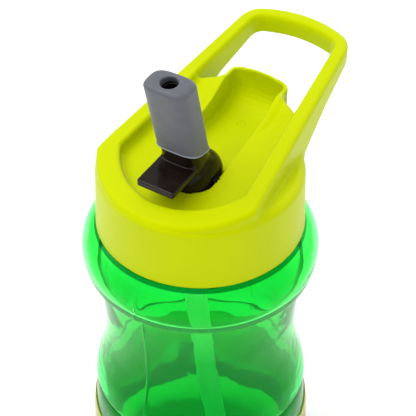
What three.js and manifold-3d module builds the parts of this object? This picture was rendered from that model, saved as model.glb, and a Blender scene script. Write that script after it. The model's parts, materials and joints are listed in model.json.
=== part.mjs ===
// Kids' water bottle with a screw lid, a carry loop and a flip-up straw spout.
// Millimetres, +Z up. The origin is on the bottle's axis at the surface it stands on.
// The spout and its thumb tab face -Y, and the carry loop reaches out to +Y.

import * as THREE from 'three';
import { mergeVertices } from 'three/addons/utils/BufferGeometryUtils.js';
import Module from 'manifold-3d';

const wasm = await Module();
wasm.setup();

// ---------------------------------------------------------------- driving dimensions

const GAP = 0.3;                // clearance between pieces that touch
const ROUND = 52;               // segments of the large round pieces

const LID_Z = 132;              // lower edge of the lid's skirt
const BODY_R = 39.95;
const BODY_WIDEST_Z = 24;
const BODY_SWELL = 0.0019;       // loss of radius per square millimetre away from the widest
const NECK_TOP_Z = 145;
const NECK_OUTER_R = 30.2;
const NECK_INNER_R = 27.8;

const THREAD_PITCH = 4;
const THREAD_TURNS = 1.25;
const THREAD_DEPTH = 1.1;

const SLEEVE_BOTTOM_Z = 10;
const SLEEVE_TOP_Z = 45;
const SLEEVE_GAP = 0.25;
const SLEEVE_WALL = 0.4;

const SKIRT_R = 35;             // lid skirt at its lower edge
const SKIRT_TOP_R = 34.2;
const SKIRT_INNER_R = 32.8;
const SHOULDER_H = 23.3;        // skirt's rounded top edge, above the lid's lower edge
const LEDGE_H = 15.2;           // face that presses on the gasket
const DECK_FRONT_R = 33.6;
const SHELF_R = 33.4;            // rear edge of the deck between the loop's arms

const TOP_H = 30.2;             // lid's upper face on the axis, above the lid's lower edge
const TOP_SLOPE = 0.165;        // rise towards the loop
const FRONT_Y = -10;            // the upper face falls faster in front of this line
const FRONT_SLOPE = 0.23;
const RECESS_DEPTH = 4.8;
const RECESS_R = 25.8;
const SHELF_RISE = 2.8;         // the recess floor ramps up by this towards its rear edge
const FLOOR_WALL = 2.4;

const ARM_OUTER_X = 28.1;       // outer edge of each loop arm at Y = 0
const ARM_OUTER_TAPER = 0.1217;
const ARM_INNER_X = 22.0;
const ARM_INNER_TAPER = 0.105;
const LOOP_CORNER_Y = 57;       // where each arm starts to curve into the loop's bar
const LOOP_END_Y = 69;
const LOOP_BAR_W = 5;
const LOOP_BAR_H = 7.2;

const TROUGH_X = 9.8;           // inner half width of the trough that the spout folds into
const TROUGH_WALL = 1.5;
const TROUGH_END_Y = 37.2;

const HUB_HOLE_X = 10.4;         // half width of the rounded opening around the hub
const HUB_HOLE_R = 10.1;         // its half length, and the radius of the seal's seat
const HUB_HOLE_CORNER = 8;
const HUB_HOLE_Y = -5.5;
const CUP_R = 13.4;
const CUP_BOTTOM_H = 9.8;

const PIVOT_Y = -5.8;
const PIVOT_H = 22.8;           // above the lid's lower edge
const HUB_R = 9.4;
const HUB_HALF = 9.2;
const HUB_EDGE = 6.2;
const TRUNNION_R = 1.2;
const TRUNNION_END = 12.2;
const TRUNNION_HOLE_R = 1.4;
const TRUNNION_HOLE_END = 12.7;

const STEM_LEAN = THREE.MathUtils.degToRad(14);
const STEM_BASE_Y = -6.6;
const STEM_BASE_H = 22.6;
const STEM_TIP = 43.7;          // along the stem from its base point
const MOUTH_BOTTOM = 14.2;
const TAB_X = 6.75;
const TAB_FRONT_Y = -26.3;
const BORE_R = 2.6;

const STRAW_Y = -4.2;
const STRAW_OUTER_R = 3.9;
const STRAW_INNER_R = 2.95;
const STUB_R = 2.6;
const STUB_BORE_R = 1.8;

const VENT_X = 6.6;
const VENT_BORE_R = 1.0;
const VENT_PORT_TILT = 25;      // degrees, of the hub's air port towards +Y

// ---------------------------------------------------------------- materials

function plastic(color, roughness, opacity = 1) {
  return new THREE.MeshStandardMaterial({
    color, roughness, metalness: 0, opacity, transparent: opacity < 1,
  });
}

const greenClear = plastic(0x35d860, 0.08, 0.45);
const printedFilm = plastic(0xe8c437, 0.3);
const lime = plastic(0xcddc00, 0.45);
const whiteSilicone = plastic(0xe6ebe6, 0.6);
const blackPlastic = plastic(0x17120f, 0.2);
const greySilicone = plastic(0x5f646d, 0.55);
const milkyPlastic = plastic(0xd9efdc, 0.35, 0.75);
const clearSilicone = plastic(0xdfe6e2, 0.5, 0.8);

// ---------------------------------------------------------------- solids

// A closed three.js geometry as a solid whose faces point out.
function solid(geometry) {
  const bare = geometry.clone();
  bare.deleteAttribute('normal');
  bare.deleteAttribute('uv');
  const merged = mergeVertices(bare, 1e-4);
  const position = merged.getAttribute('position');
  const index = merged.getIndex().array;
  const a = new THREE.Vector3();
  const b = new THREE.Vector3();
  const c = new THREE.Vector3();
  const triangles = [];
  let volume = 0;
  for (let i = 0; i < index.length; i += 3) {
    const [p, q, r] = [index[i], index[i + 1], index[i + 2]];
    if (p === q || q === r || r === p) continue;
    triangles.push(p, q, r);
    a.fromBufferAttribute(position, p);
    b.fromBufferAttribute(position, q);
    c.fromBufferAttribute(position, r);
    volume += a.dot(b.cross(c));
  }
  if (volume < 0) triangles.reverse();
  return new wasm.Manifold(new wasm.Mesh({
    numProp: 3,
    vertProperties: new Float32Array(position.array),
    triVerts: new Uint32Array(triangles),
  }));
}

function piece(name, body, material) {
  const result = body.getMesh();
  const geometry = new THREE.BufferGeometry();
  geometry.setAttribute('position', new THREE.BufferAttribute(result.vertProperties, 3));
  geometry.setIndex(new THREE.BufferAttribute(result.triVerts, 1));
  geometry.computeVertexNormals();
  const mesh = new THREE.Mesh(geometry, material);
  mesh.name = name;
  return mesh;
}

// A profile of [radius, height] points turned about +Z.
function turned(points, segments = ROUND) {
  const profile = points.map(([r, z]) => new THREE.Vector2(r, z));
  return solid(new THREE.LatheGeometry(profile, segments).rotateX(Math.PI / 2));
}

function tube(innerR, outerR, bottom, top, segments = ROUND) {
  return turned([[innerR, bottom], [outerR, bottom], [outerR, top], [innerR, top],
    [innerR, bottom]], segments);
}

function disc(radius, bottom, top, segments = ROUND) {
  return turned([[0, bottom], [radius, bottom], [radius, top], [0, top]], segments);
}

// A plan outline in XY, raised from bottom to top.
function prism(shape, bottom, top, curveSegments = 12) {
  const geometry = new THREE.ExtrudeGeometry(shape, {
    depth: top - bottom, bevelEnabled: false, curveSegments,
  });
  return solid(geometry.translate(0, 0, bottom));
}

// A side outline of [y, z] points, running from -halfX to +halfX.
function sideProfile(points, halfX) {
  const shape = new THREE.Shape(points.map(([y, z]) => new THREE.Vector2(y, z)));
  const geometry = new THREE.ExtrudeGeometry(shape, {
    depth: 2 * halfX, bevelEnabled: false,
  });
  geometry.translate(0, 0, -halfX);
  geometry.rotateY(Math.PI / 2);
  geometry.rotateX(Math.PI / 2);
  return solid(geometry);
}

function rod(radius, fromX, toX, y, z, segments = 20) {
  const geometry = new THREE.CylinderGeometry(radius, radius, toX - fromX, segments);
  geometry.rotateZ(Math.PI / 2);
  return solid(geometry.translate((fromX + toX) / 2, y, z));
}

// A stack of superellipse rings { z, a, b, fall }; fall drops the ring towards +Y.
function loft(rings, power = 3.3, around = 32) {
  const positions = [];
  const index = [];
  const signedPower = (value) => Math.sign(value) * Math.abs(value) ** (2 / power);
  for (const { z, a, b, fall = 0 } of rings) {
    for (let i = 0; i < around; i += 1) {
      const angle = (2 * Math.PI * i) / around;
      const y = b * signedPower(Math.sin(angle));
      positions.push(a * signedPower(Math.cos(angle)), y, z - fall * y);
    }
  }
  for (let k = 0; k + 1 < rings.length; k += 1) {
    for (let i = 0; i < around; i += 1) {
      const j = (i + 1) % around;
      const low = k * around;
      const high = low + around;
      index.push(low + i, low + j, high + j, low + i, high + j, high + i);
    }
  }
  const last = (rings.length - 1) * around;
  for (let i = 1; i + 1 < around; i += 1) {
    index.push(0, i + 1, i, last, last + i, last + i + 1);
  }
  const geometry = new THREE.BufferGeometry();
  geometry.setAttribute('position', new THREE.Float32BufferAttribute(positions, 3));
  geometry.setIndex(index);
  return solid(geometry);
}

// A helical ridge on a wall of the given radius. A negative depth grows inwards.
function threadRidge(wallR, depth, bottom) {
  const steps = Math.round(THREAD_TURNS * 40);
  const root = Math.sign(depth) * 0.5;
  const positions = [];
  const index = [];
  for (let i = 0; i <= steps; i += 1) {
    const turn = (i / steps) * THREAD_TURNS;
    const ends = Math.min(1, 0.15 + 6 * Math.min(i / steps, 1 - i / steps));
    const crest = wallR + depth * ends;
    const z = bottom + turn * THREAD_PITCH;
    const section = [[wallR - root, z - 1.1], [crest, z - 0.35], [crest, z + 0.35],
      [wallR - root, z + 1.1]];
    for (const [r, height] of section) {
      const angle = 2 * Math.PI * turn;
      positions.push(r * Math.cos(angle), r * Math.sin(angle), height);
    }
  }
  for (let i = 0; i < steps; i += 1) {
    for (let k = 0; k < 4; k += 1) {
      const n = (k + 1) % 4;
      const low = i * 4;
      const high = low + 4;
      index.push(low + k, high + k, high + n, low + k, high + n, low + n);
    }
  }
  const last = steps * 4;
  index.push(0, 1, 2, 0, 2, 3, last, last + 2, last + 1, last, last + 3, last + 2);
  const geometry = new THREE.BufferGeometry();
  geometry.setAttribute('position', new THREE.Float32BufferAttribute(positions, 3));
  geometry.setIndex(index);
  return solid(geometry);
}

function spline(points, divisions) {
  const curve = new THREE.SplineCurve(points.map(([r, z]) => new THREE.Vector2(r, z)));
  return curve.getPoints(divisions).map((point) => [point.x, point.y]);
}

// ---------------------------------------------------------------- bottle

// Outer wall of the body in its lower part, which swells slightly, as [radius, z].
function bodyWall(fromZ, toZ, divisions) {
  const points = [];
  for (let i = 0; i <= divisions; i += 1) {
    const z = fromZ + ((toZ - fromZ) * i) / divisions;
    points.push([BODY_R - BODY_SWELL * (z - BODY_WIDEST_Z) ** 2, z]);
  }
  return points;
}

function bottleShell() {
  const base = [[0, 0], [9, 0], [12, 1.5], [24, 1.5], [27, 0], [32.5, 0], [36.2, 1.6],
    [38.1, 4.4]];
  const ledge = [[37.7, 57.5], [38.3, 60.2], [38.1, 62.3]];
  const waist = spline([[37.2, 67], [35.6, 72.3], [34.1, 80], [33.7, 88], [34.2, 97],
    [36, 113.5]], 7);
  const ring = spline([[39.5, 116.2], [40.2, 120.5], [39.9, 124.6], [37.9, 128.6],
    [34.6, 130.8], [31.4, 131.7]], 7);
  const neck = [[NECK_OUTER_R, 132.6], [NECK_OUTER_R, NECK_TOP_Z - 0.5],
    [NECK_OUTER_R - 0.5, NECK_TOP_Z], [NECK_INNER_R, NECK_TOP_Z], [NECK_INNER_R, 134.4]];
  const innerRing = spline([[28.4, 131.4], [31.9, 129.6], [36.2, 127], [37.8, 122.6],
    [36.9, 117.6], [34.2, 112.2]], 6);
  const innerBody = spline([[31.8, 97], [31.4, 88], [31.9, 80], [33.6, 72], [35.9, 62],
    [37.3, 40], [37.6, 26], [36.9, 10]], 8);
  const floor = [[34.4, 4.6], [30, 2.8], [24, 3.9], [12, 3.9], [9, 2.6], [0, 2.6]];
  const shell = turned([...base, ...bodyWall(8, 54, 6), ...ledge, ...waist, ...ring,
    ...neck, ...innerRing, ...innerBody, ...floor]);
  return shell.add(threadRidge(NECK_OUTER_R, THREAD_DEPTH, LID_Z + 4));
}

// Printed film around the lower body, following its swell.
function graphicSleeve() {
  const wall = bodyWall(SLEEVE_BOTTOM_Z, SLEEVE_TOP_Z, 6);
  const inner = wall.map(([r, z]) => [r + SLEEVE_GAP, z]);
  const outer = wall.map(([r, z]) => [r + SLEEVE_GAP + SLEEVE_WALL, z]);
  return turned([...outer, ...inner.reverse(), outer[0]]);
}

// ---------------------------------------------------------------- lid

const topHeight = (y) => (y < FRONT_Y
  ? TOP_H + TOP_SLOPE * FRONT_Y + FRONT_SLOPE * (y - FRONT_Y)
  : TOP_H + TOP_SLOPE * y);
const floorHeight = (y) => TOP_H - RECESS_DEPTH + TOP_SLOPE * y;
const armOuter = (y) => ARM_OUTER_X - ARM_OUTER_TAPER * y;
const armInner = (y) => ARM_INNER_X - ARM_INNER_TAPER * y;

// Everything below a sloping line z = height(y), as one long block.
function below(height, lift = 0) {
  const stations = [-60, FRONT_Y, 90];
  return sideProfile([...stations.map((y) => [y, height(y) + lift]), [90, -20],
    [-60, -20]], 60);
}

// Plan of the lid's rim and loop: a round front, tapering arms and an arched end.
function deckPlan() {
  const joinY = -15.2;
  const joinX = Math.sqrt(DECK_FRONT_R ** 2 - joinY ** 2);
  const angle = Math.atan2(joinY, joinX);
  const shape = new THREE.Shape();
  shape.moveTo(-joinX, joinY);
  shape.absarc(0, 0, DECK_FRONT_R, Math.PI - angle, 2 * Math.PI + angle, false);
  const cornerX = armOuter(LOOP_CORNER_Y);
  const [bendX, bendY] = [cornerX - 0.6, LOOP_CORNER_Y + 7.2];
  shape.lineTo(cornerX, LOOP_CORNER_Y);
  shape.quadraticCurveTo(bendX, bendY, 15.5, LOOP_END_Y - 3);
  shape.quadraticCurveTo(8, LOOP_END_Y, 0, LOOP_END_Y);
  shape.quadraticCurveTo(-8, LOOP_END_Y, -15.5, LOOP_END_Y - 3);
  shape.quadraticCurveTo(-bendX, bendY, -cornerX, LOOP_CORNER_Y);
  return shape;
}

// Plan of the opening inside the arms, from the given start edge to the loop's bar.
function innerPlan(startEdge) {
  const cornerX = armInner(LOOP_CORNER_Y);
  const [bendX, bendY] = [cornerX - 0.2, LOOP_CORNER_Y + 4.6];
  const endY = LOOP_END_Y - LOOP_BAR_W;
  const shape = new THREE.Shape();
  startEdge(shape);
  shape.lineTo(cornerX, LOOP_CORNER_Y);
  shape.quadraticCurveTo(bendX, bendY, 12.3, endY - 1.7);
  shape.quadraticCurveTo(6, endY, 0, endY);
  shape.quadraticCurveTo(-6, endY, -12.3, endY - 1.7);
  shape.quadraticCurveTo(-bendX, bendY, -cornerX, LOOP_CORNER_Y);
  return shape;
}

function recessPlan() {
  const joinY = -11.3;
  const joinX = Math.sqrt(RECESS_R ** 2 - joinY ** 2);
  const angle = Math.atan2(joinY, joinX);
  return innerPlan((shape) => {
    shape.moveTo(-joinX, joinY);
    shape.absarc(0, 0, RECESS_R, Math.PI - angle, 2 * Math.PI + angle, false);
  });
}

function windowPlan() {
  const joinX = 18.4;
  const joinY = Math.sqrt(SHELF_R ** 2 - joinX ** 2);
  const angle = Math.atan2(joinY, joinX);
  return innerPlan((shape) => {
    shape.moveTo(-joinX, joinY);
    shape.absarc(0, 0, SHELF_R, Math.PI - angle, angle, true);
  });
}

// Plan of the opening around the hub: a rectangle with large round corners.
function hubHolePlan() {
  const [x, y, r] = [HUB_HOLE_X, HUB_HOLE_R, HUB_HOLE_CORNER];
  const shape = new THREE.Shape();
  shape.moveTo(x, HUB_HOLE_Y + y - r);
  shape.absarc(x - r, HUB_HOLE_Y + y - r, r, 0, Math.PI / 2, false);
  shape.absarc(r - x, HUB_HOLE_Y + y - r, r, Math.PI / 2, Math.PI, false);
  shape.absarc(r - x, HUB_HOLE_Y + r - y, r, Math.PI, 1.5 * Math.PI, false);
  shape.absarc(x - r, HUB_HOLE_Y + r - y, r, 1.5 * Math.PI, 2 * Math.PI, false);
  return shape;
}

// A trough plan: parallel sides with rounded far corners.
function troughPlan(halfX, startY, endY, corner) {
  const shape = new THREE.Shape();
  shape.moveTo(-halfX, startY);
  shape.lineTo(halfX, startY);
  shape.lineTo(halfX, endY - corner);
  shape.absarc(halfX - corner, endY - corner, corner, 0, Math.PI / 2, false);
  shape.lineTo(-halfX + corner, endY);
  shape.absarc(-halfX + corner, endY - corner, corner, Math.PI / 2, Math.PI, false);
  return shape;
}

// Side line of the trough's floor: nearly level, then a large fillet up its end wall.
function troughFloor(lift, endY) {
  const fillet = new THREE.Path();
  fillet.moveTo(-12, 18.9 + lift);
  fillet.lineTo(26, 22 + lift);
  fillet.quadraticCurveTo(endY - 1, 22.8 + lift, endY, 32 + lift);
  return fillet.getPoints(8).map((point) => [point.x, point.y]);
}

function lidShell() {
  const skirt = turned([[0, 0], [SKIRT_R - 0.3, 0], [SKIRT_R, 0.3],
    [SKIRT_TOP_R, SHOULDER_H - 3.2], [SKIRT_TOP_R - 0.7, SHOULDER_H - 1.2],
    [SKIRT_TOP_R - 2.2, SHOULDER_H], [0, SHOULDER_H]]);
  const underArms = sideProfile([[16, 14], [30, 21.6], [42, 27], [58, topHeight(58) - 8],
    [90, topHeight(90) - LOOP_BAR_H], [90, 0], [16, 0]], 60);
  const deck = prism(deckPlan(), 14, 60).intersect(below(topHeight))
    .subtract(underArms.subtract(disc(SKIRT_TOP_R - 0.7, 0, 60)))
    .subtract(prism(windowPlan(), 10, 60));
  const aboveFloor = sideProfile([[-60, floorHeight(-60)], [22, floorHeight(22)],
    [25, floorHeight(25) + 0.8], [28, floorHeight(28) + 2], [31, floorHeight(31) + SHELF_RISE],
    [90, floorHeight(90) + SHELF_RISE], [90, 90], [-60, 90]], 60);
  const recess = prism(recessPlan(), 10, 60).intersect(aboveFloor);

  const podSide = sideProfile([[10, 16], [31, 19], [38.5, 26], [38.5, 35.2],
    [37, 35], [31, 33.2], [24, floorHeight(24)], [10, floorHeight(10)]], 30);
  const podPlan = troughPlan(TROUGH_X + TROUGH_WALL, 10, TROUGH_END_Y + 1.3, 2.2);
  const pod = prism(podPlan, 10, 60).intersect(podSide);

  const cup = disc(CUP_R, CUP_BOTTOM_H, 40, 48)
    .translate([0, HUB_HOLE_Y, 0]).intersect(below(floorHeight));
  const channelSide = sideProfile([...troughFloor(0, TROUGH_END_Y), [TROUGH_END_Y, 60],
    [-12, 60]], 30);
  const channelPlan = troughPlan(TROUGH_X, HUB_HOLE_Y, TROUGH_END_Y, 2.4);
  const channel = prism(channelPlan, 10, 60).intersect(channelSide);
  const hubHole = prism(hubHolePlan(), 0, 60);

  // Space under the lid: the threaded socket, and a hollow above the gasket's ledge
  // that leaves an even wall under the recess and around the trough.
  const troughBlock = prism(troughPlan(TROUGH_X + FLOOR_WALL, HUB_HOLE_Y, 50, 2), 10, 60)
    .intersect(sideProfile([...troughFloor(-FLOOR_WALL, 50), [50, 60], [-12, 60]], 30));
  const hollow = disc(RECESS_R - 1.6, LEDGE_H - 1, 60)
    .intersect(below(floorHeight, -FLOOR_WALL)).subtract(troughBlock);
  const socket = disc(SKIRT_INNER_R, -1, LEDGE_H).add(hollow).subtract(cup);

  let lid = skirt.add(deck).subtract(recess).add(pod);
  lid = lid.subtract(socket).add(cup).subtract(channel).subtract(hubHole);
  for (const side of [-1, 1]) {
    const ends = [side * (HUB_HALF + 0.3), side * TRUNNION_HOLE_END].sort((p, q) => p - q);
    lid = lid.subtract(rod(TRUNNION_HOLE_R, ...ends, PIVOT_Y, PIVOT_H));
  }
  return lid.add(threadRidge(SKIRT_INNER_R, -THREAD_DEPTH, 3)).translate([0, 0, LID_Z]);
}

function lidGasket() {
  return tube(NECK_INNER_R - 0.2, 31.4, NECK_TOP_Z + GAP, LID_Z + LEDGE_H - GAP);
}

// ---------------------------------------------------------------- spout

// Moves a solid from the stem's own frame, +Z along the stem, to the bottle's frame.
function onStem(body) {
  return body.rotate([THREE.MathUtils.radToDeg(STEM_LEAN), 0, 0])
    .translate([0, STEM_BASE_Y, LID_Z + STEM_BASE_H]);
}

function spoutBore(radius, from, to) {
  return onStem(disc(radius, from, to, 20));
}

function spout() {
  const corner = new THREE.Path();
  corner.absarc(HUB_R - HUB_EDGE, HUB_HALF - HUB_EDGE, HUB_EDGE, 0, Math.PI / 2, false);
  const half = corner.getPoints(4).map((point) => [point.x, point.y]);
  const profile = [[0, -HUB_HALF], ...half.map(([r, x]) => [r, -x]).reverse(), ...half,
    [0, HUB_HALF]];
  const points = profile.map(([r, x]) => new THREE.Vector2(r, x));
  const drum = solid(new THREE.LatheGeometry(points, 32).rotateZ(Math.PI / 2)
    .translate(0, PIVOT_Y, LID_Z + PIVOT_H));
  const trunnions = rod(TRUNNION_R, -TRUNNION_END, TRUNNION_END, PIVOT_Y,
    LID_Z + PIVOT_H);
  const stem = onStem(loft([
    { z: 2, a: 7.6, b: 6.2 },
    { z: 8, a: 7.2, b: 5.4 },
    { z: MOUTH_BOTTOM - GAP, a: 6.8, b: 4.6, fall: 0.445 },
    { z: MOUTH_BOTTOM - GAP, a: 5.6, b: 3.7, fall: 0.445 },
    { z: STEM_TIP - 3.4, a: 5.2, b: 3.5 },
  ]));
  const tabPlan = new THREE.Shape();
  tabPlan.moveTo(-TAB_X, -9);
  tabPlan.lineTo(-TAB_X, TAB_FRONT_Y + 1);
  tabPlan.quadraticCurveTo(-TAB_X, TAB_FRONT_Y, 1 - TAB_X, TAB_FRONT_Y);
  tabPlan.lineTo(TAB_X - 1, TAB_FRONT_Y);
  tabPlan.quadraticCurveTo(TAB_X, TAB_FRONT_Y, TAB_X, TAB_FRONT_Y + 1);
  tabPlan.lineTo(TAB_X, -9);
  const tabSide = sideProfile([[-30, 28.75], [-5, 29.9], [-5, 32.1], [-30, 30.95]], 10);
  const tab = prism(tabPlan, 10, 60, 3).intersect(tabSide).translate([0, 0, LID_Z]);
  const airPort = disc(VENT_BORE_R, -3, 22, 12).rotate([-VENT_PORT_TILT, 0, 0])
    .translate([VENT_X, STRAW_Y, LID_Z + PIVOT_H - HUB_R]);
  return drum.add(trunnions).add(stem).add(tab).subtract(spoutBore(BORE_R, -20, 60))
    .subtract(airPort);
}

// Soft bite piece pulled over the stem's upper part.
function mouthpiece() {
  const skin = loft([
    { z: MOUTH_BOTTOM, a: 8.1, b: 5.5, fall: 0.445 },
    { z: STEM_TIP - 1.9, a: 8.1, b: 5.5, fall: 0.18 },
    { z: STEM_TIP - 0.6, a: 7.5, b: 4.9, fall: 0.18 },
    { z: STEM_TIP, a: 6.2, b: 3.6, fall: 0.18 },
  ]);
  const hollow = loft([
    { z: 5, a: 5.9, b: 4.0 },
    { z: MOUTH_BOTTOM + 4, a: 5.85, b: 4.0 },
    { z: STEM_TIP - 3.1, a: 5.5, b: 3.8 },
  ]);
  return onStem(skin.subtract(hollow)).subtract(spoutBore(2.8, 10, 60));
}

// ---------------------------------------------------------------- inside the lid

// Silicone pad that hugs the underside of the spout's hub.
function spoutSeal() {
  const pad = disc(HUB_HOLE_R - GAP, CUP_BOTTOM_H + 0.4, 17.5, 40)
    .translate([0, HUB_HOLE_Y, 0]);
  const hub = rod(HUB_R + GAP, -20, 20, PIVOT_Y, PIVOT_H, 40);
  const port = disc(BORE_R, 0, 30, 20).translate([0, STRAW_Y, 0]);
  const vent = disc(VENT_BORE_R, 0, 30, 12).translate([VENT_X, STRAW_Y, 0]);
  return pad.subtract(hub).subtract(port).subtract(vent).translate([0, 0, LID_Z]);
}

// Cap that snaps over the cup, holds the seal up and carries the straw on its stub.
function sealRetainer() {
  const cupR = CUP_R + GAP;
  const floor = disc(cupR + 1.6, 7.6, CUP_BOTTOM_H - GAP, 48);
  const collar = tube(cupR, cupR + 1.6, 8, 13.4, 48);
  const boss = disc(HUB_HOLE_R - 0.6, 8, CUP_BOTTOM_H + 0.1, 40);
  const stub = disc(STUB_R, -3, 8, 24).translate([0, STRAW_Y - HUB_HOLE_Y, 0]);
  const port = disc(STUB_BORE_R, -10, 30, 24).translate([0, STRAW_Y - HUB_HOLE_Y, 0]);
  const vent = disc(VENT_BORE_R, 0, 30, 12).translate([VENT_X, STRAW_Y - HUB_HOLE_Y, 0]);
  return floor.add(collar).add(boss).add(stub).subtract(port).subtract(vent)
    .translate([0, HUB_HOLE_Y, LID_Z]);
}

// Duckbill that lets air in as the drink is drawn: a flange and two lips.
function ventValve() {
  const top = 7.6 - GAP;
  const flange = disc(2.4, top - 0.9, top, 20);
  const lips = loft([
    { z: top - 4.4, a: 1.7, b: 0.35 },
    { z: top - 2.6, a: 1.8, b: 1.2 },
    { z: top - 0.5, a: 1.8, b: 1.8 },
  ], 2, 20);
  const throat = disc(VENT_BORE_R - 0.1, top - 2.8, top + 1, 12);
  return flange.add(lips).subtract(throat).translate([VENT_X, STRAW_Y, LID_Z]);
}

// Flexible straw: straight below the stub, then curving to the bottle's rear floor.
const STRAW_ROUTE = [[-4.2, 138.8], [-4.1, 126], [-3.6, 108], [-2.9, 97], [-0.9, 84],
  [1.3, 70], [4.0, 54], [7.2, 37], [10.8, 20], [13.4, 8]];

function straw() {
  const route = new THREE.CatmullRomCurve3(
    STRAW_ROUTE.map(([y, z]) => new THREE.Vector3(0, y, z)));
  const section = new THREE.Shape();
  section.absarc(0, 0, STRAW_OUTER_R, 0, 2 * Math.PI, false);
  const bore = new THREE.Path();
  bore.absarc(0, 0, STRAW_INNER_R, 0, 2 * Math.PI, true);
  section.holes.push(bore);
  return solid(new THREE.ExtrudeGeometry(section, {
    extrudePath: route, steps: 16, curveSegments: 8, bevelEnabled: false,
  }));
}

// ---------------------------------------------------------------- assembly

const bottle = new THREE.Group();
bottle.add(piece('bottle_shell', bottleShell(), greenClear));
bottle.add(piece('graphic_sleeve', graphicSleeve(), printedFilm));

const lidAssembly = new THREE.Group();
lidAssembly.add(piece('lid_gasket', lidGasket(), whiteSilicone));
lidAssembly.add(piece('lid_shell', lidShell(), lime));
lidAssembly.add(piece('spout_seal', spoutSeal(), whiteSilicone));
lidAssembly.add(piece('seal_retainer', sealRetainer(), milkyPlastic));
lidAssembly.add(piece('vent_valve', ventValve(), clearSilicone));
lidAssembly.add(piece('straw', straw(), milkyPlastic));

const spoutAssembly = new THREE.Group();
spoutAssembly.add(piece('spout', spout(), blackPlastic));
spoutAssembly.add(piece('mouthpiece', mouthpiece(), greySilicone));
lidAssembly.add(spoutAssembly);
bottle.add(lidAssembly);

export default bottle;
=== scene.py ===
"""Looks of the kids' water bottle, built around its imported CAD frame.

Shapes are worked out in millimetres, the lid's in the lid's own frame, where z = 0 is the
skirt's lower edge, and are scaled to metres as they become meshes.
"""

import itertools
import json
import math

import bmesh
import bpy
import numpy as np
from mathutils import Matrix, Vector


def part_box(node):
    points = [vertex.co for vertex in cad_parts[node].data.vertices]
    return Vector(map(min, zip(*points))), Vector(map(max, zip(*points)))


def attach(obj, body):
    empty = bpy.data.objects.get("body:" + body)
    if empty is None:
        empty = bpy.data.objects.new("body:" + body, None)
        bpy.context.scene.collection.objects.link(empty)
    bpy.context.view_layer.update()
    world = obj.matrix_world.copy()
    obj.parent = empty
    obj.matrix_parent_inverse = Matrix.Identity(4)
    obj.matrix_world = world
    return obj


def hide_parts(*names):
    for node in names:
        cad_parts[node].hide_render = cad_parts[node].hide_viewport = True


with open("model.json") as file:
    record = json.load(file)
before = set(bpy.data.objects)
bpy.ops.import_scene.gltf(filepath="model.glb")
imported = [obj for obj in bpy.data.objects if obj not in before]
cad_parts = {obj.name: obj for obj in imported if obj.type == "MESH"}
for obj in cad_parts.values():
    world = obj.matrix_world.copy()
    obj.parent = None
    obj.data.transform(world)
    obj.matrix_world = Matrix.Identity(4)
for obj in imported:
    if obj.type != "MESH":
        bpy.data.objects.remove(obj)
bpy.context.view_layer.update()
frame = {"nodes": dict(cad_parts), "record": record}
MM = 0.001

JOINTS = {joint["name"]: joint for joint in frame["record"]["behaviour"]["joints"]}
LID_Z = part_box("lid_shell")[0].z / MM
PIVOT_Y, PIVOT_Z = (v / MM for v in JOINTS["spout_flip"]["pos_m"][1:])
PIVOT_H = PIVOT_Z - LID_Z
NECK_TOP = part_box("bottle_shell")[1].z / MM
SLEEVE_LOW, SLEEVE_HIGH = (corner.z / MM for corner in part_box("graphic_sleeve"))

BODY_R = 39.95                  # the bottle's lower body, at its widest
PRINT_R = 40.4                  # middle of the sleeve's wall
NECK_R = 30.2
THREAD_TURNS = 1.25
THREAD_PITCH = 4
THREAD_DEPTH = 1.1
THREAD_START = 0.15             # share of the thread's depth at its two ends
NECK_THREAD_Z = 4               # start of the thread's middle, above the lid's lower edge
LID_THREAD_Z = 3

SKIRT_R = 35
SKIRT_TOP = 23.3
SKIRT_TAPER = 0.04
SOCKET_R = 32.8                 # the skirt's inside
SOCKET_TOP = 15.2
HOLLOW_R = 24.2                 # the space above the socket
TOP_WALL = 2.4
DECK_BOTTOM = 13
RIM_H = 30.2                    # the lid's rim and recess floor, at the bottle's axis
FLOOR_H = 25.4
DECK_SLOPE = 0.165              # rise of the lid's top towards the rear
DECK_COS = 0.986                # cosine of the angle of that slope
ARM_END_Y = 57                  # where the carry loop's arms turn into its bar
CUP_Y = -5.5                    # centre of the cup under the hub and of the hub's hole
CUP_R = 13.4
CUP_BOTTOM = 9.8
TROUGH_X = 9.8
TROUGH_END = 37.2

HUB_R = 9.4
HUB_X = 9.2
PIN_R = 1.2
PIN_HOLE_R = 1.4
BORE_R = 2.6
AIR_TILT = 0.436                # radians, of the hub's air port
AIR_X, AIR_Y, AIR_R = 6.6, -4.2, 1.0
TAB_X = 6.75                    # half width
TAB_Y, TAB_HALF_Y = -16.3, 10.0
TAB_SLOPE = 0.046
LEAN = math.radians(14)         # the stem's lean towards the front
STEM_Y, STEM_H = -6.6, 22.6     # a point on the stem's axis, where lengths along it start
STEM_TIP = 43.68
MOUTH_BOTTOM = 14.2
MOUTH_SLANT = 0.445             # slope of the mouthpiece's lower end across the stem
SLANT_COS = 0.914               # cosine of the angle of that slope
STRAW_R, STRAW_INNER_R = 3.9, 2.95


# ---------------------------------------------------------------- distance fields

def both(a, b, r=0.0):
    """Intersection of two fields; the edge between them is rounded to radius r."""
    inner = np.minimum(np.maximum(a, b), -r)
    return inner + np.hypot(np.maximum(a + r, 0), np.maximum(b + r, 0))


def either(a, b, r=0.0):
    """Union of two fields; the corner between them gets a fillet of radius r."""
    return -both(-a, -b, r)


def without(a, b, r=0.0):
    """Field a with b cut out of it."""
    return both(a, -b, r)


def ramp(value, start, end):
    """Rises smoothly from 0 at start to 1 at end."""
    t = np.clip((value - start) / (end - start), 0, 1)
    return t * t * (3 - 2 * t)


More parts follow.
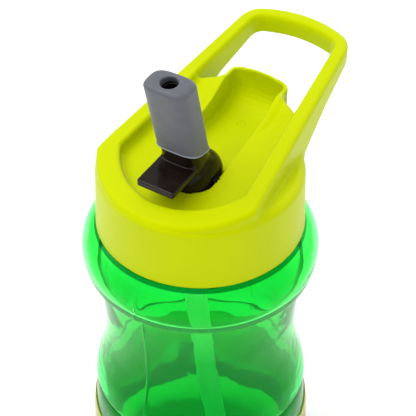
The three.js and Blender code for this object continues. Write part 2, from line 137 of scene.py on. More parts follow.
def outline(points, u, v):
    """Signed distance to a closed outline in the plane of u and v, negative inside."""
    u, v = np.broadcast_arrays(u, v)
    nearest = np.full(u.shape, np.inf)
    inside = np.zeros(u.shape, bool)
    for (au, av), (bu, bv) in zip(points, points[1:] + points[:1]):
        eu, ev = bu - au, bv - av
        if eu == 0 and ev == 0:
            continue
        wu, wv = u - au, v - av
        t = np.clip((wu * eu + wv * ev) / (eu * eu + ev * ev), 0, 1)
        nearest = np.minimum(nearest, (wu - t * eu) ** 2 + (wv - t * ev) ** 2)
        if ev != 0:
            inside ^= ((av > v) != (bv > v)) & (wu < eu * (v - av) / ev)
    return np.where(inside, -1, 1) * np.sqrt(nearest)


def arc(cx, cy, r, start, end, steps=24):
    """Points along an arc; the angles are in radians."""
    angles = np.linspace(start, end, steps)
    return [(cx + r * math.cos(a), cy + r * math.sin(a)) for a in angles]


def bow(a, b, c, steps=10):
    """Points of a quadratic curve from a to c that is pulled towards b."""
    t = np.linspace(0, 1, steps)
    return [tuple((1 - s) ** 2 * np.array(a) + 2 * s * (1 - s) * np.array(b)
                  + s * s * np.array(c)) for s in t]


def surface(distance, low, high, step):
    """Vertices, quads and normals of the surface where the distance field is zero."""
    # Cells whose corners lie on both sides of the surface get a number.
    axes = [np.arange(a, b + step, step) for a, b in zip(low, high)]
    values = distance(axes[0][:, None, None], axes[1][None, :, None],
                      axes[2][None, None, :])
    inside = values < 0
    cells = tuple(n - 1 for n in values.shape)
    corners = list(itertools.product((0, 1), repeat=3))
    count = sum(inside[i:i + cells[0], j:j + cells[1], k:k + cells[2]].astype(np.int8)
                for i, j, k in corners)
    where = np.argwhere((count > 0) & (count < 8))
    number = np.full(cells, -1)
    number[tuple(where.T)] = np.arange(len(where))

    # Each of them gets a vertex, at the mean of the places where its edges are crossed.
    total = np.zeros((len(where), 3))
    hits = np.zeros(len(where))
    for axis in range(3):
        for p in (c for c in corners if c[axis] == 0):
            q = tuple(1 if n == axis else p[n] for n in range(3))
            va = values[tuple((where + p).T)]
            vb = values[tuple((where + q).T)]
            crossed = (va < 0) != (vb < 0)
            t = va / np.where(crossed, va - vb, 1)
            point = where + p + t[:, None] * (np.array(q) - p)
            total[crossed] += point[crossed]
            hits += crossed
    points = np.array(low) + step * total / hits[:, None]

    # Each crossed grid edge gets a quad between the four cells around it.
    quads = []
    for axis in range(3):
        u, v = (axis + 1) % 3, (axis + 2) % 3
        ahead = np.roll(inside, -1, axis)
        change = inside != ahead
        for n, edge in ((axis, -1), (u, 0), (u, -1), (v, 0), (v, -1)):
            cut = [slice(None)] * 3
            cut[n] = edge
            change[tuple(cut)] = False
        at = np.argwhere(change)
        ring = []
        for du, dv in ((1, 1), (0, 1), (0, 0), (1, 0)):
            cell = at.copy()
            cell[:, u] -= du
            cell[:, v] -= dv
            ring.append(number[tuple(cell.T)])
        quad = np.stack(ring, 1)
        outward = inside[tuple(at.T)]
        quad[~outward] = quad[~outward][:, ::-1]
        quads.append(quad)

    # The vertices move onto the surface and take their normals from its slope.
    for _ in range(3):
        slope = gradient(distance, points, step)
        size = np.maximum((slope ** 2).sum(1), 0.2)
        move = -distance(*points.T)[:, None] * slope / size[:, None]
        points = points + np.clip(move, -0.4 * step, 0.4 * step)
    normals = gradient(distance, points, step)
    normals /= np.maximum(np.linalg.norm(normals, axis=1), 1e-9)[:, None]
    return points, np.concatenate(quads), normals


def gradient(distance, points, step):
    """Slope of a distance field at some points."""
    h = 0.2 * step
    slope = np.zeros_like(points)
    for n in range(3):
        shift = np.zeros(3)
        shift[n] = h
        slope[:, n] = distance(*(points + shift).T) - distance(*(points - shift).T)
    return slope / (2 * h)


# ---------------------------------------------------------------- meshes

def add_mesh(name, points, faces, material, body, lift=0.0):
    """A smooth-shaded object from points in millimetres, riding on a CAD body."""
    mesh = bpy.data.meshes.new(name)
    moved = (np.asarray(points, float) + (0, 0, lift)) * MM
    mesh.from_pydata(moved.tolist(), [], np.asarray(faces).tolist())
    mesh.validate()
    mesh.shade_smooth()
    mesh.materials.append(material)
    piece = bpy.data.objects.new(name, mesh)
    bpy.context.scene.collection.objects.link(piece)
    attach(piece, body)
    return piece


def add_field(name, distance, low, high, step, material, body):
    """An object from a distance field given in the lid's frame."""
    points, quads, normals = surface(distance, low, high, step)
    piece = add_mesh(name, points, quads, material, body, lift=LID_Z)
    piece.data.normals_split_custom_set_from_vertices(normals.tolist())
    return piece


def smooth_line(knots, steps):
    """Points along a Catmull-Rom curve through the knots."""
    knots = np.array(knots, float)
    ends = np.vstack([2 * knots[0] - knots[1], knots, 2 * knots[-1] - knots[-2]])
    line = []
    for p0, p1, p2, p3 in zip(ends, ends[1:], ends[2:], ends[3:]):
        for t in np.arange(steps) / steps:
            line.append(0.5 * (2 * p1 + (p2 - p0) * t + (2 * p0 - 5 * p1 + 4 * p2 - p3) * t ** 2
                               + (3 * p1 - p0 - 3 * p2 + p3) * t ** 3))
    line.append(knots[-1])
    return [tuple(point) for point in line]


def lathe(profile, angles, swell=None):
    """A profile of (radius, z) turned about the axis; swell adds to the radius."""
    profile = np.array(profile, float)
    r = np.repeat(profile[:, :1], len(angles), 1)
    z = np.repeat(profile[:, 1:], len(angles), 1)
    a = np.repeat(angles[None, :], len(profile), 0)
    if swell is not None:
        r = r + swell(r, a, z)
    points = np.stack([r * np.cos(a), r * np.sin(a), z], 2).reshape(-1, 3)
    faces = []
    n = len(angles)
    for i in range(len(profile) - 1):
        for k in range(n):
            j = (k + 1) % n
            faces.append((i * n + k, i * n + j, (i + 1) * n + j, (i + 1) * n + k))
    return points, faces


def weld(piece, sharp=50):
    """Joins doubled points and marks the edges that stay sharp, in degrees."""
    made = bmesh.new()
    made.from_mesh(piece.data)
    bmesh.ops.remove_doubles(made, verts=made.verts, dist=0.002 * MM)
    made.to_mesh(piece.data)
    made.free()
    piece.data.shade_smooth()
    piece.data.set_sharp_from_angle(angle=math.radians(sharp))


# ---------------------------------------------------------------- materials

def node(m, kind, inputs=None, **settings):
    """A shader node; an input may be a number, a colour or another node's output."""
    made = m.node_tree.nodes.new(kind)
    for key, value in settings.items():
        setattr(made, key, value)
    for key, value in (inputs or {}).items():
        if isinstance(value, bpy.types.NodeSocket):
            m.node_tree.links.new(value, made.inputs[key])
        else:
            made.inputs[key].default_value = value
    return made


def calc(m, operation, a, b=0.0, c=0.0):
    """A sum in a material, on numbers or other nodes' outputs."""
    made = node(m, "ShaderNodeMath", {0: a, 1: b, 2: c}, operation=operation)
    return made.outputs[0]


def new_material(name, **values):
    """A Principled material, its shader and its object coordinates."""
    m = bpy.data.materials.new(name)
    m.use_nodes = True
    shader = m.node_tree.nodes["Principled BSDF"]
    for key, value in values.items():
        shader.inputs[key.replace("_", " ")].default_value = value
    place = node(m, "ShaderNodeTexCoord").outputs["Object"]
    return m, shader, place


def noise(m, place, size, detail=2.0):
    """Noise whose features are about this many millimetres across."""
    return node(m, "ShaderNodeTexNoise", {"Vector": place, "Scale": 1 / (size * MM),
                                          "Detail": detail}).outputs["Fac"]


def tint(m, shader, factor, low, high):
    """Colours a shader between two colours as a factor goes from 0.3 to 0.7."""
    ramp_node = node(m, "ShaderNodeValToRGB", {"Fac": factor})
    stops = ramp_node.color_ramp.elements
    stops[0].position, stops[1].position = 0.3, 0.7
    stops[0].color, stops[1].color = (*low, 1), (*high, 1)
    m.node_tree.links.new(ramp_node.outputs["Color"], shader.inputs["Base Color"])


def paint_over(m, shader, mask, paint):
    """Lays a colour, or another node's output, over the base colour where the mask is 1."""
    under = shader.inputs["Base Color"].links[0].from_socket
    mixed = node(m, "ShaderNodeMix", {0: mask, 6: under, 7: paint}, data_type="RGBA")
    m.node_tree.links.new(mixed.outputs[2], shader.inputs["Base Color"])


def bands(m, factor, first, *others):
    """Colours with hard edges; each one after the first comes with its starting place."""
    made = node(m, "ShaderNodeValToRGB", {"Fac": factor})
    made.color_ramp.interpolation = "CONSTANT"
    stops = made.color_ramp.elements
    stops[0].color = (*first, 1)
    stops[1].position, stops[1].color = others[0][0], (*others[0][1], 1)
    for start, color in others[1:]:
        stops.new(start).color = (*color, 1)
    return made.outputs[0]


def relief(m, shader, height, depth):
    """Bump on a shader; the depth is in millimetres."""
    bump = node(m, "ShaderNodeBump", {"Height": height, "Distance": depth * MM,
                                      "Strength": 1.0})
    m.node_tree.links.new(bump.outputs["Normal"], shader.inputs["Normal"])


def vary_roughness(m, shader, factor, low, high):
    """Spreads the roughness between two values as a factor goes from 0 to 1."""
    spread = node(m, "ShaderNodeMapRange", {"Value": factor, "To Min": low, "To Max": high})
    m.node_tree.links.new(spread.outputs[0], shader.inputs["Roughness"])


def peak(m, distance, centre, width):
    """1 where the distance is at the centre, falling smoothly to 0 a width away."""
    off = calc(m, "DIVIDE", calc(m, "SUBTRACT", distance, centre * MM), width * MM)
    return calc(m, "EXPONENT", calc(m, "MULTIPLY", calc(m, "MULTIPLY", off, off), -1.0))


def lime_plastic():
    m, shader, place = new_material("lime_plastic", IOR=1.45, Roughness=0.4)
    shader.inputs["Specular IOR Level"].default_value = 0.28
    shader.inputs["Specular Tint"].default_value = (1.0, 0.95, 0.0, 1)
    tint(m, shader, noise(m, place, 18), (0.455, 0.54, 0.0), (0.485, 0.57, 0.0))
    vary_roughness(m, shader, noise(m, place, 9), 0.38, 0.48)
    # Mark of the moulding gate: a ring with a dot in it, on the trough's floor.
    x, y, _ = node(m, "ShaderNodeSeparateXYZ", {0: place}).outputs
    dy = calc(m, "SUBTRACT", y, 25.1 * MM)
    away = calc(m, "SQRT", calc(m, "ADD", calc(m, "MULTIPLY", x, x),
                                calc(m, "MULTIPLY", dy, dy)))
    mark = calc(m, "ADD", peak(m, away, 1.25, 0.4), peak(m, away, 0.0, 0.35))
    grain = calc(m, "MULTIPLY", noise(m, place, 0.5), 0.06)
    relief(m, shader, calc(m, "ADD", grain, mark), 0.2)
    return m


def clear_green():
    """Clear green plastic, painted paler towards the top where the ring looks lit, with a
    painted shadow line under the lid and a faint painted glow.
    """
    m, shader, place = new_material("clear_green", IOR=1.24, Roughness=0.03)
    shader.inputs["Transmission Weight"].default_value = 0.97
    z = node(m, "ShaderNodeSeparateXYZ", {0: place}).outputs[2]
    # Painted light: the colour turns paler from the waist up to the ring, for the brighter look
    # the ring has.
    paler = calc(m, "MULTIPLY", calc(m, "SUBTRACT", z, 88 * MM), 0.028 / MM)
    paler = calc(m, "MULTIPLY_ADD", noise(m, place, 30), 0.2, paler)
    tint(m, shader, paler, (0.02, 0.64, 0.12), (0.15, 0.86, 0.24))
    # Painted shadow: a dark line where the shoulder turns into the neck, just under the lid's
    # edge, for the shade the lid casts there.
    from_turn = calc(m, "ABSOLUTE", calc(m, "SUBTRACT", z, 130.8 * MM))
    paint_over(m, shader, calc(m, "LESS_THAN", from_turn, 0.5 * MM), (0.0, 0.10, 0.02, 1))
    shader.inputs["Specular Tint"].default_value = (0.0, 0.8, 0.3, 1)
    # Painted glow: a faint green emission that lifts the shade inside the clear plastic.
    shader.inputs["Emission Color"].default_value = (0.03, 0.85, 0.12, 1)
    shader.inputs["Emission Strength"].default_value = 0.04
    relief(m, shader, noise(m, place, 14), 0.3)
    return m


def black_plastic():
    m, shader, place = new_material("black_plastic", IOR=1.3, Roughness=0.14)
    tint(m, shader, noise(m, place, 6), (0.007, 0.004, 0.003), (0.012, 0.007, 0.005))
    vary_roughness(m, shader, noise(m, place, 4), 0.10, 0.2)
    relief(m, shader, noise(m, place, 3), 0.02)
    return m


def grey_silicone():
    m, shader, place = new_material("grey_silicone", IOR=1.41, Roughness=0.5)
    shader.inputs["Sheen Weight"].default_value = 0.12
    shader.inputs["Sheen Roughness"].default_value = 0.4
    tint(m, shader, noise(m, place, 5, 4.0), (0.088, 0.092, 0.112), (0.104, 0.108, 0.130))
    vary_roughness(m, shader, noise(m, place, 2), 0.44, 0.58)
    # Painted highlight: the thin rim at its lower end is painted paler, for the light line
    # along its edge.
    _, y, z = node(m, "ShaderNodeSeparateXYZ", {0: place}).outputs
    rim_y = MOUTH_SLANT * math.cos(LEAN) - math.sin(LEAN)
    rim_z = MOUTH_SLANT * math.sin(LEAN) + math.cos(LEAN)
    along = calc(m, "ADD", calc(m, "MULTIPLY", calc(m, "SUBTRACT", y, STEM_Y * MM), rim_y),
                 calc(m, "MULTIPLY", calc(m, "SUBTRACT", z, (LID_Z + STEM_H) * MM), rim_z))
    rim = calc(m, "LESS_THAN", along, (MOUTH_BOTTOM + 0.65) * MM)
    paint_over(m, shader, rim, (0.24, 0.26, 0.29, 1))
    relief(m, shader, noise(m, place, 0.4, 3.0), 0.012)
    return m


def milky_plastic(name, low, high, transmission, painted_glow=0.0):
    m, shader, place = new_material(name, IOR=1.5, Roughness=0.35)
    # Emission here is a painted glow, for parts that should look brighter than their lighting
    # makes them.
    shader.inputs["Emission Color"].default_value = (0.6, 1, 0.6, 1)
    shader.inputs["Emission Strength"].default_value = painted_glow
    shader.inputs["Transmission Weight"].default_value = transmission
    tint(m, shader, noise(m, place, 12), low, high)
    relief(m, shader, noise(m, place, 4), 0.03)
    return m


def white_silicone():
    m, shader, place = new_material("white_silicone", IOR=1.41, Roughness=0.55)
    tint(m, shader, noise(m, place, 4), (0.72, 0.76, 0.72), (0.80, 0.83, 0.80))
    relief(m, shader, noise(m, place, 0.6), 0.015)
    return m


def printed_film():
    """Glossy film with plain coloured discs and waves on a warm yellow ground."""
    m, shader, place = new_material("printed_film", IOR=1.5, Roughness=0.3)
    shader.inputs["Transmission Weight"].default_value = 0.8
    x, y, z = node(m, "ShaderNodeSeparateXYZ", {0: place}).outputs
    around = calc(m, "MULTIPLY", calc(m, "ARCTAN2", y, x), PRINT_R * MM)
    flat = node(m, "ShaderNodeCombineXYZ", {"X": around, "Y": z}).outputs[0]
    wave = calc(m, "MULTIPLY", calc(m, "SINE", calc(m, "MULTIPLY", around, 0.15 / MM)), 3 * MM)
    above = calc(m, "SUBTRACT", z, calc(m, "ADD", wave, 24 * MM))
    ground = bands(m, calc(m, "MULTIPLY_ADD", above, 0.03 / MM, 0.5), (0.05, 0.28, 0.55),
                   (0.38, (0.80, 0.85, 0.62)), (0.46, (0.95, 0.60, 0.04)),
                   (0.9, (0.90, 0.82, 0.10)))
    m.node_tree.links.new(ground, shader.inputs["Base Color"])
    cells = node(m, "ShaderNodeTexVoronoi", {"Vector": flat, "Scale": 0.062 / MM,
                                             "Randomness": 0.55})
    disc = calc(m, "LESS_THAN", cells.outputs["Distance"], 0.24)
    pick = node(m, "ShaderNodeSeparateColor", {0: cells.outputs["Color"]}).outputs[0]
    paint_over(m, shader, disc, bands(m, pick, (0.85, 0.22, 0.03), (0.35, (0.90, 0.88, 0.78)),
                                      (0.7, (0.10, 0.45, 0.12))))
    relief(m, shader, calc(m, "MULTIPLY", disc, 0.5), 0.02)
    return m


LIME = lime_plastic()
GREEN = clear_green()
BLACK = black_plastic()
GREY = grey_silicone()
WHITE = white_silicone()
FILM = printed_film()
# The straw gets a painted glow, so it shows bright through the green wall.
STRAW = milky_plastic("straw_plastic", (0.48, 0.84, 0.50), (0.54, 0.88, 0.56), 0.1, 0.22)
MILKY = milky_plastic("milky_plastic", (0.72, 0.80, 0.72), (0.78, 0.85, 0.78), 0.3)
CLEAR = milky_plastic("clear_silicone", (0.70, 0.76, 0.74), (0.76, 0.82, 0.80), 0.5)


# ---------------------------------------------------------------- bottle

SEAM_ANGLES = (-math.pi / 2, math.pi / 2)
SEAM_HEIGHT = 0.16
SEAM_WIDTH = 0.3


def round_angles():
    """Even steps around the axis, with fine ones at the mould's two parting lines."""
    angles = list(np.linspace(0, 2 * math.pi, 200, endpoint=False))
    for seam in SEAM_ANGLES:
        angles += [(seam + step * 0.004) % (2 * math.pi) for step in (-3, -2, -1, 1, 2, 3)]
    return np.array(sorted(angles))


def body_wall(z):
    """Outer radius of the bottle's lower body."""
    return BODY_R - 0.0019 * (z - 24) ** 2


def thread_rise(turn):
    """How far the thread stands out, 0 to 1, as it runs out at both ends."""
    left = np.minimum(turn, THREAD_TURNS - turn) / THREAD_TURNS
    return np.clip(THREAD_START + 6 * left, 0, 1)


def bottle_swell(r, a, z):
    """Relief on the bottle's outer wall: its parting lines and the screw thread."""
    added = np.zeros_like(r)
    outside = r > np.where(z > 130, 29.5, 33.0)
    for seam in SEAM_ANGLES:
        off = np.abs((a - seam + math.pi) % (2 * math.pi) - math.pi) * r
        line = SEAM_HEIGHT * np.exp(-(off / SEAM_WIDTH) ** 2)
        added += np.where(outside & (z > 6) & (z < 131), line, 0)
    neck = (np.abs(r - NECK_R) < 0.05) & (z > 132.7)
    for turn in (a / (2 * math.pi), 1 + a / (2 * math.pi)):
        middle = LID_Z + NECK_THREAD_Z + THREAD_PITCH * turn
        ridge = np.clip((1.1 - np.abs(z - middle)) / 0.75, 0, 1)
        added += np.where(neck & (turn <= THREAD_TURNS),
                          THREAD_DEPTH * thread_rise(turn) * ridge, 0)
    return added


def bottle_profile():
    """Section of the bottle, up its outside from the foot and down its inside."""
    foot = [(0, 0), (5, 0), (9, 0), (12, 1.5), (24, 1.5), (27, 0), (32.5, 0)]
    heel = smooth_line([(33.6, 0.3), (36.2, 1.6), (38.1, 4.4)], 5)
    wall = [(body_wall(z), z) for z in np.linspace(8, 54, 24)]
    ledge = smooth_line([(37.7, 56.4), (37.1, 57.4), (37.5, 58.4), (38.3, 59.6),
                         (38.3, 61.4), (37.9, 63.4), (37.1, 67), (35.6, 72.3),
                         (34.1, 80), (33.7, 88), (34.2, 97), (35.2, 107), (36, 113.5)], 6)
    ring = smooth_line([(39.2, 115.9), (39.6, 116.4), (40.2, 120.5), (39.9, 124.6),
                        (37.9, 128.6), (34.6, 130.8), (31.4, 131.7)], 7)
    neck = [(NECK_R, z) for z in np.arange(132.8, NECK_TOP - 0.6, 0.3)]
    mouth = [(NECK_R, NECK_TOP - 0.5), (29.9, NECK_TOP - 0.1), (29.5, NECK_TOP),
             (28.3, NECK_TOP), (27.9, NECK_TOP - 0.2), (27.8, NECK_TOP - 0.6)]
    inner = smooth_line([(27.8, 134.4), (28.4, 131.4), (31.9, 129.6), (36.4, 127),
                         (38.3, 122.6), (38.1, 118.4), (36.9, 116.5), (34.6, 113.8),
                         (33.4, 107), (32, 97), (31.4, 88), (31.9, 80), (33.6, 72),
                         (35.9, 62), (37.3, 40), (37.6, 26), (36.9, 10), (34.4, 4.6)], 6)
    floor = [(30, 2.8), (24, 3.9), (12, 3.9), (9, 2.6), (4, 2.6), (0, 2.6)]
    return foot + heel + wall + ledge + ring + neck + mouth + inner + floor


def make_bottle():
    """The clear bottle, foot to mouth."""
    points, faces = lathe(bottle_profile(), round_angles(), bottle_swell)
    shell = add_mesh("bottle", points, faces, GREEN, "bottle")
    weld(shell, sharp=40)
    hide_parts("bottle_shell")


def make_sleeve():
    """Printed film around the lower body."""
    heights = np.linspace(SLEEVE_LOW, SLEEVE_HIGH, 28)
    outer = [(body_wall(z) + 0.63, z) for z in heights]
    outer[0] = (outer[0][0] - 0.15, heights[0])
    outer[-1] = (outer[-1][0] - 0.15, heights[-1])
    inner = [(body_wall(z) + 0.25, z) for z in heights[::-1]]
    points, faces = lathe(outer + inner + outer[:1], round_angles())
    sleeve = add_mesh("printed_sleeve", points, faces, FILM, "bottle")
    weld(sleeve, sharp=40)
    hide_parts("graphic_sleeve")


# ---------------------------------------------------------------- lid

def arm_outer(y):
    """Half width of the lid's plan over the carry loop's arms."""
    return 28.1 - 0.1217 * y


def arm_inner(y):
    """Half width of the space between the arms."""
    return 22.0 - 0.105 * y


def mirrored(half):
    """Closes an outline given for x >= 0, from the front round to the rear."""
    return half + [(-x, y) for x, y in half[::-1]]


def inner_half():
    """Inner edge of the loop's right arm and the right half of its bar."""
    corner = (arm_inner(ARM_END_Y), ARM_END_Y)
    return (bow(corner, (corner[0] - 0.2, 61.6), (12.3, 62.3))
            + bow((12.3, 62.3), (6, 64), (0, 64)))


DECK = mirrored(arc(0, 0, 33.6, -math.pi / 2, math.atan2(-15.2, 29.97))
                + bow((arm_outer(ARM_END_Y), ARM_END_Y),
                      (arm_outer(ARM_END_Y) - 0.6, 64.2), (15.5, 66))
                + bow((15.5, 66), (8, 69), (0, 69)))
RECESS = mirrored(arc(0, 0, 25.8, -math.pi / 2, math.atan2(-11.3, 23.2)) + inner_half())
WINDOW = mirrored(arc(0, 0, 34.0, math.pi / 2, math.atan2(28.4, 18.7)) + inner_half())
UNDERSIDE = [(-40, -50), (-40, 12), (16, 14), (30, 21.6), (42, 27), (58, 31.8),
             (66, 34.1), (90, 38.0), (90, -50)]
POD_SIDE = [(6, 14), (31, 19), (36.4, 22.6), (37.9, 27), (37.9, 34.2), (36.9, 34.0),
            (31, 33.2), (28, 31.6), (24, 29.4), (6, 26.4)]
TROUGH_SIDE = ([(-20, 18.3), (26, 22)] + bow((26, 22), (36.2, 22.8), (37.2, 32))
               + [(37.4, 60), (-20, 60)])


def pocket(half_x, start, end, corner):
    """A plan with parallel sides and rounded far corners."""
    return mirrored([(0, start), (half_x, start)]
                    + arc(half_x - corner, end - corner, corner, 0, math.pi / 2, 8)
                    + [(0, end)])


def top_height(y):
    """The lid's rim, which drops a little more steeply at the front."""
    return RIM_H + DECK_SLOPE * y - 0.065 * np.maximum(-10 - y, 0)


def floor_height(y):
    """The recess floor, without its sweep at the rear."""
    return FLOOR_H + DECK_SLOPE * y


def shelf_height(y):
    """The recess floor, which sweeps up towards its rear edge."""
    return floor_height(y) + 2.8 * ramp(y, 21, 31.5)


def block(x, y, half_x, half_y, corner):
    """Plan distance to a rectangle with round corners, centred on the origin."""
    dx, dy = np.abs(x) - half_x + corner, np.abs(y) - half_y + corner
    return (np.hypot(np.maximum(dx, 0), np.maximum(dy, 0)) - corner
            + np.minimum(np.maximum(dx, dy), 0))


def lid_thread(x, y, z):
    """Helical ridge inside the skirt."""
    crest = SOCKET_R - THREAD_DEPTH
    r = np.hypot(x, y)
    turn = (np.arctan2(y, x) / (2 * math.pi)) % 1
    nearest = np.inf
    for t in (turn, turn + 1):
        tall = np.abs(z - LID_THREAD_Z - THREAD_PITCH * t)
        ridge = np.maximum(SOCKET_R - THREAD_DEPTH * thread_rise(t) - r,
                           0.8 * (tall - 0.35) - 0.55 * (r - crest))
        nearest = np.minimum(nearest, np.where(t <= THREAD_TURNS, ridge, 5.0))
    return np.maximum(nearest, r - SOCKET_R - 0.7)


def lid_distance(x, y, z):
    """The lid, with its carry loop, trough and hub cup in one moulding."""
    r = np.hypot(x, y)
    skirt = both(r - SKIRT_R + SKIRT_TAPER * np.minimum(z, 20), z - SKIRT_TOP, 3.0)
    skirt = both(skirt, -z, 0.5)
    deck = both(outline(DECK, x, y), DECK_COS * (z - top_height(y)), 1.7)
    deck = without(deck, outline(UNDERSIDE, y, z), 2.0)
    deck = both(deck, DECK_BOTTOM - z)
    deck = without(deck, outline(WINDOW, x, y), 1.3)
    lid = either(skirt, deck, 1.6 * ramp(y, -26, -12))
    recess = both(outline(RECESS, x, y), 0.97 * (shelf_height(y) - z), 2.2)
    lid = without(lid, recess, 1.3)

    # The pod around the trough; its rear edge is crowned.
    crown = (1 - (x / 11) ** 2) * ramp(y, 30, 36)
    pod_y = y - 0.8 * crown
    pod_z = z - 1.5 * crown
    pod = both(outline(pocket(11.3, 6, 38.0, 2.2), x, pod_y),
               outline(POD_SIDE, pod_y, pod_z), 0.5)
    lid = either(lid, pod, 2.4 * ramp(y, 14, 24))

    # The inside: the socket for the neck, the space above it and the hub's cup.
    cup = both(np.hypot(x, y - CUP_Y) - CUP_R, CUP_BOTTOM - z, 0.3)
    cup = both(cup, DECK_COS * (z - floor_height(y)), 0.3)
    keep = both(outline(pocket(TROUGH_X + TOP_WALL, CUP_Y, 50, 2), x, y),
                outline(TROUGH_SIDE, y, z + TOP_WALL))
    hollow = both(r - HOLLOW_R, DECK_COS * (z - floor_height(y) + TOP_WALL), 1.0)
    hollow = without(hollow, keep)
    socket = np.minimum(both(r - SOCKET_R, z - SOCKET_TOP, 0.4), hollow)
    lid = either(without(lid, socket, 0.3), cup, 0.3)

    # The trough, the hub's hole with its notch, and the holes for the hub's pins.
    channel = both(outline(pocket(TROUGH_X, CUP_Y, TROUGH_END, 1.6), x, pod_y),
                   outline(TROUGH_SIDE, pod_y, z), 1.4)
    lid = without(lid, channel, 0.45)
    hub_hole = block(x, y - CUP_Y, 10.3, 9.9, 8)
    hub_hole = np.minimum(hub_hole, np.hypot(x - 9.2, y + 9.6) - 1.1)
    lid = without(lid, hub_hole, 0.3)
    sides = np.maximum(np.hypot(y - PIVOT_Y, z - PIVOT_H) - PIN_HOLE_R, np.abs(x) - 12.7)
    lid = without(lid, sides)
    return np.minimum(lid, lid_thread(x, y, z))


def make_lid():
    lid = add_field("lid", lid_distance, (-36.5, -36.5, -1.5), (36.5, 74, 44), 0.6, LIME,
                    "lid")
    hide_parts("lid_shell")


# ---------------------------------------------------------------- spout

def on_stem(y, z):
    """Distance along the leaning stem, and across it towards the rear."""
    dy, dz = y - STEM_Y, z - STEM_H
    return dz * math.cos(LEAN) - dy * math.sin(LEAN), dy * math.cos(LEAN) + dz * math.sin(LEAN)


def oval(x, v, a, b, power=3.3):
    """Distance to a superellipse with half axes a and b."""
    size = ((np.abs(x) / a) ** power + (np.abs(v) / b) ** power + 1e-9) ** (1 / power)
    return (size - 1) * np.minimum(a, b)


def spout_distance(x, y, z):
    """Hub drum, pins, flattened stem and thumb tab, with the bore and the air port."""
    s, v = on_stem(y, z)
    drum = both(np.hypot(y - PIVOT_Y, z - PIVOT_H) - HUB_R, np.abs(x) - HUB_X, 6.2)
    pins = both(np.hypot(y - PIVOT_Y, z - PIVOT_H) - PIN_R, np.abs(x) - 12.1, 0.2)
    lower = both(oval(x, v, 7.7 - 0.06 * s, 6.3 - 0.12 * s),
                 SLANT_COS * (s + MOUTH_SLANT * v - MOUTH_BOTTOM + 0.3), 0.3)
    lower = both(lower, 2 - s)
    upper = both(oval(x, v, 5.6, 3.7), s - STEM_TIP + 3.4, 0.4)
    upper = both(upper, 2 - s)
    tab = both(block(x, y - TAB_Y, TAB_X, TAB_HALF_Y, 0.8),
               np.abs(z - 29.85 - TAB_SLOPE * (y + 30)) - 1.1, 0.35)
    ridge = both(np.abs(x) - 6.4, np.hypot(y + 12.9, z - 31.6) - 0.6, 0.3)
    body = either(either(drum, lower, 1.2), np.minimum(tab, ridge), 0.35)
    body = np.minimum(np.minimum(body, upper), pins)
    air_y, air_z = y - AIR_Y, z - PIVOT_H + HUB_R
    air_v = air_y * math.cos(AIR_TILT) - air_z * math.sin(AIR_TILT)
    body = without(body, np.hypot(x, v) - BORE_R, 0.3)
    return without(body, np.hypot(x - AIR_X, air_v) - AIR_R)


def make_spout():
    spout = add_field("spout_body", spout_distance, (-13.5, -27.5, 12), (13.5, 5.5, 63), 0.4,
                      BLACK, "spout")
    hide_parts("spout")


def mouthpiece_distance(x, y, z):
    """Soft sleeve over the stem, with a slanted top and a slightly flared lower rim."""
    s, v = on_stem(y, z)
    flare = 0.25 * ramp(s + MOUTH_SLANT * v, MOUTH_BOTTOM + 0.9, MOUTH_BOTTOM + 0.4)
    skin = both(oval(x, v, 7.8 + flare, 5.3 + flare), 0.984 * (s + 0.18 * v - STEM_TIP), 1.7)
    skin = both(skin, SLANT_COS * (MOUTH_BOTTOM - s - MOUTH_SLANT * v), 0.2)
    hollow = both(oval(x, v, 5.9, 4.0), s - STEM_TIP + 3.1, 0.4)
    skin = without(skin, hollow, 0.2)
    return without(skin, np.hypot(x, v) - BORE_R - 0.2, 0.6)


def make_mouthpiece():
    bite = add_field("bite_piece", mouthpiece_distance, (-9.5, -24, 34.5), (9.5, -2.5, 66),
                     0.4, GREY, "spout")
    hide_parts("mouthpiece")


# ---------------------------------------------------------------- straw

STRAW_ROUTE = [(-4.2, 138.8), (-4.1, 126), (-3.6, 108), (-2.9, 97), (-0.9, 84),
               (1.3, 70), (4.0, 54), (7.2, 37), (10.8, 20), (13.4, 8)]


def make_straw():
    """Tube along the straw's route, outside first and then back along the bore."""
    route = np.array(smooth_line(STRAW_ROUTE, 7))
    along = np.gradient(route, axis=0)
    along /= np.linalg.norm(along, axis=1)[:, None]
    angles = np.linspace(0, 2 * math.pi, 36, endpoint=False)
    rings = []
    order = ([(k, STRAW_R) for k in range(len(route))]
             + [(k, STRAW_INNER_R) for k in reversed(range(len(route)))])
    for k, radius in order + order[:1]:
        side = np.array([along[k][1], -along[k][0]])
        for a in angles:
            y, z = route[k] + radius * math.sin(a) * side
            rings.append((radius * math.cos(a), y, z))
    n = len(angles)
    faces = [(i * n + k, (i + 1) * n + k, (i + 1) * n + (k + 1) % n, i * n + (k + 1) % n)
             for i in range(len(order)) for k in range(n)]
    tube = add_mesh("straw_tube", rings, faces, STRAW, "lid")
    weld(tube, sharp=50)
    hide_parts("straw")


# ---------------------------------------------------------------- hidden parts

def finish_hidden_parts():
    """Materials of the parts that keep their CAD shapes."""
    for part, finish in (("lid_gasket", WHITE), ("spout_seal", WHITE),
                         ("seal_retainer", MILKY), ("vent_valve", CLEAR)):
        mesh = frame["nodes"][part].data
        mesh.materials.clear()
        mesh.materials.append(finish)


# ---------------------------------------------------------------- stage

def aim(thing, place, target):
    """Puts a camera or light at a place, looking at the target."""
    towards = Vector(target) - Vector(place)
    turn = towards.to_track_quat("-Z", "Y").to_matrix().to_4x4()
    thing.matrix_world = Matrix.Translation(place) @ turn


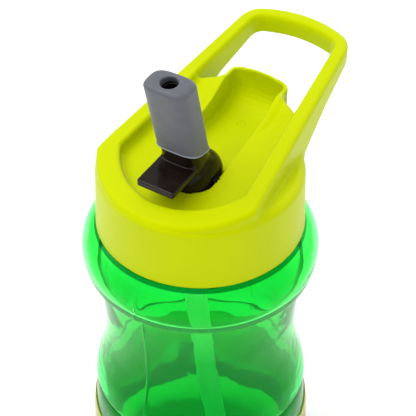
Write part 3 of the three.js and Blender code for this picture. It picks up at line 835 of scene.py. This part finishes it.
def make_camera():
    """The photo's camera; a slight shift, since the picture is cropped off centre."""
    lens = bpy.data.cameras.new("camera")
    lens.sensor_width = 36
    lens.lens = 112.5
    lens.shift_x = 0.0183
    camera = bpy.data.objects.new("camera", lens)
    bpy.context.scene.collection.objects.link(camera)
    azimuth, elevation, away = math.radians(32.41), math.radians(41.3), 0.433
    target = Vector((0, 0, (LID_Z + 3.16) * MM))
    place = target + away * Vector((math.sin(azimuth) * math.cos(elevation),
                                    -math.cos(azimuth) * math.cos(elevation),
                                    math.sin(elevation)))
    aim(camera, place, target)
    bpy.context.scene.camera = camera


def add_light(name, place, size, power, target=(0, 0, 0.13)):
    """A rectangular area light."""
    data = bpy.data.lights.new(name, "AREA")
    data.shape = "RECTANGLE"
    data.size, data.size_y = size
    data.energy = power
    light = bpy.data.objects.new(name, data)
    bpy.context.scene.collection.objects.link(light)
    aim(light, place, target)


def pale_floor():
    m, shader, place = new_material("pale_floor", Roughness=0.7)
    shader.inputs["Emission Color"].default_value = (1, 1, 1, 1)
    shader.inputs["Emission Strength"].default_value = 0.1
    tint(m, shader, noise(m, place, 400), (0.95, 0.95, 0.95), (0.97, 0.97, 0.97))
    return m


def make_stage():
    """White floor, even white surroundings and three soft lights."""
    half, below = 3, -0.2 * MM
    mesh = bpy.data.meshes.new("floor")
    mesh.from_pydata([(-half, -half, below), (half, -half, below), (half, half, below),
                      (-half, half, below)], [], [(0, 1, 2, 3)])
    mesh.materials.append(pale_floor())
    floor = bpy.data.objects.new("floor", mesh)
    bpy.context.scene.collection.objects.link(floor)

    world = bpy.data.worlds.new("studio")
    bpy.context.scene.world = world
    world.use_nodes = True
    sky = world.node_tree.nodes["Background"]
    sky.inputs["Color"].default_value = (1, 1, 1, 1)
    sky.inputs["Strength"].default_value = 0.68
    add_light("key", (-0.3, -0.2, 0.9), (0.9, 0.9), 7.5)
    add_light("fill", (0.7, -0.3, 0.35), (0.4, 0.7), 1)
    add_light("rear", (0.1, 0.8, 0.5), (0.9, 0.4), 2)
    bpy.context.scene.view_settings.view_transform = "Standard"


# ---------------------------------------------------------------- scene

make_camera()
make_stage()
make_bottle()
make_sleeve()
make_lid()
make_spout()
make_mouthpiece()
make_straw()
finish_hidden_parts()
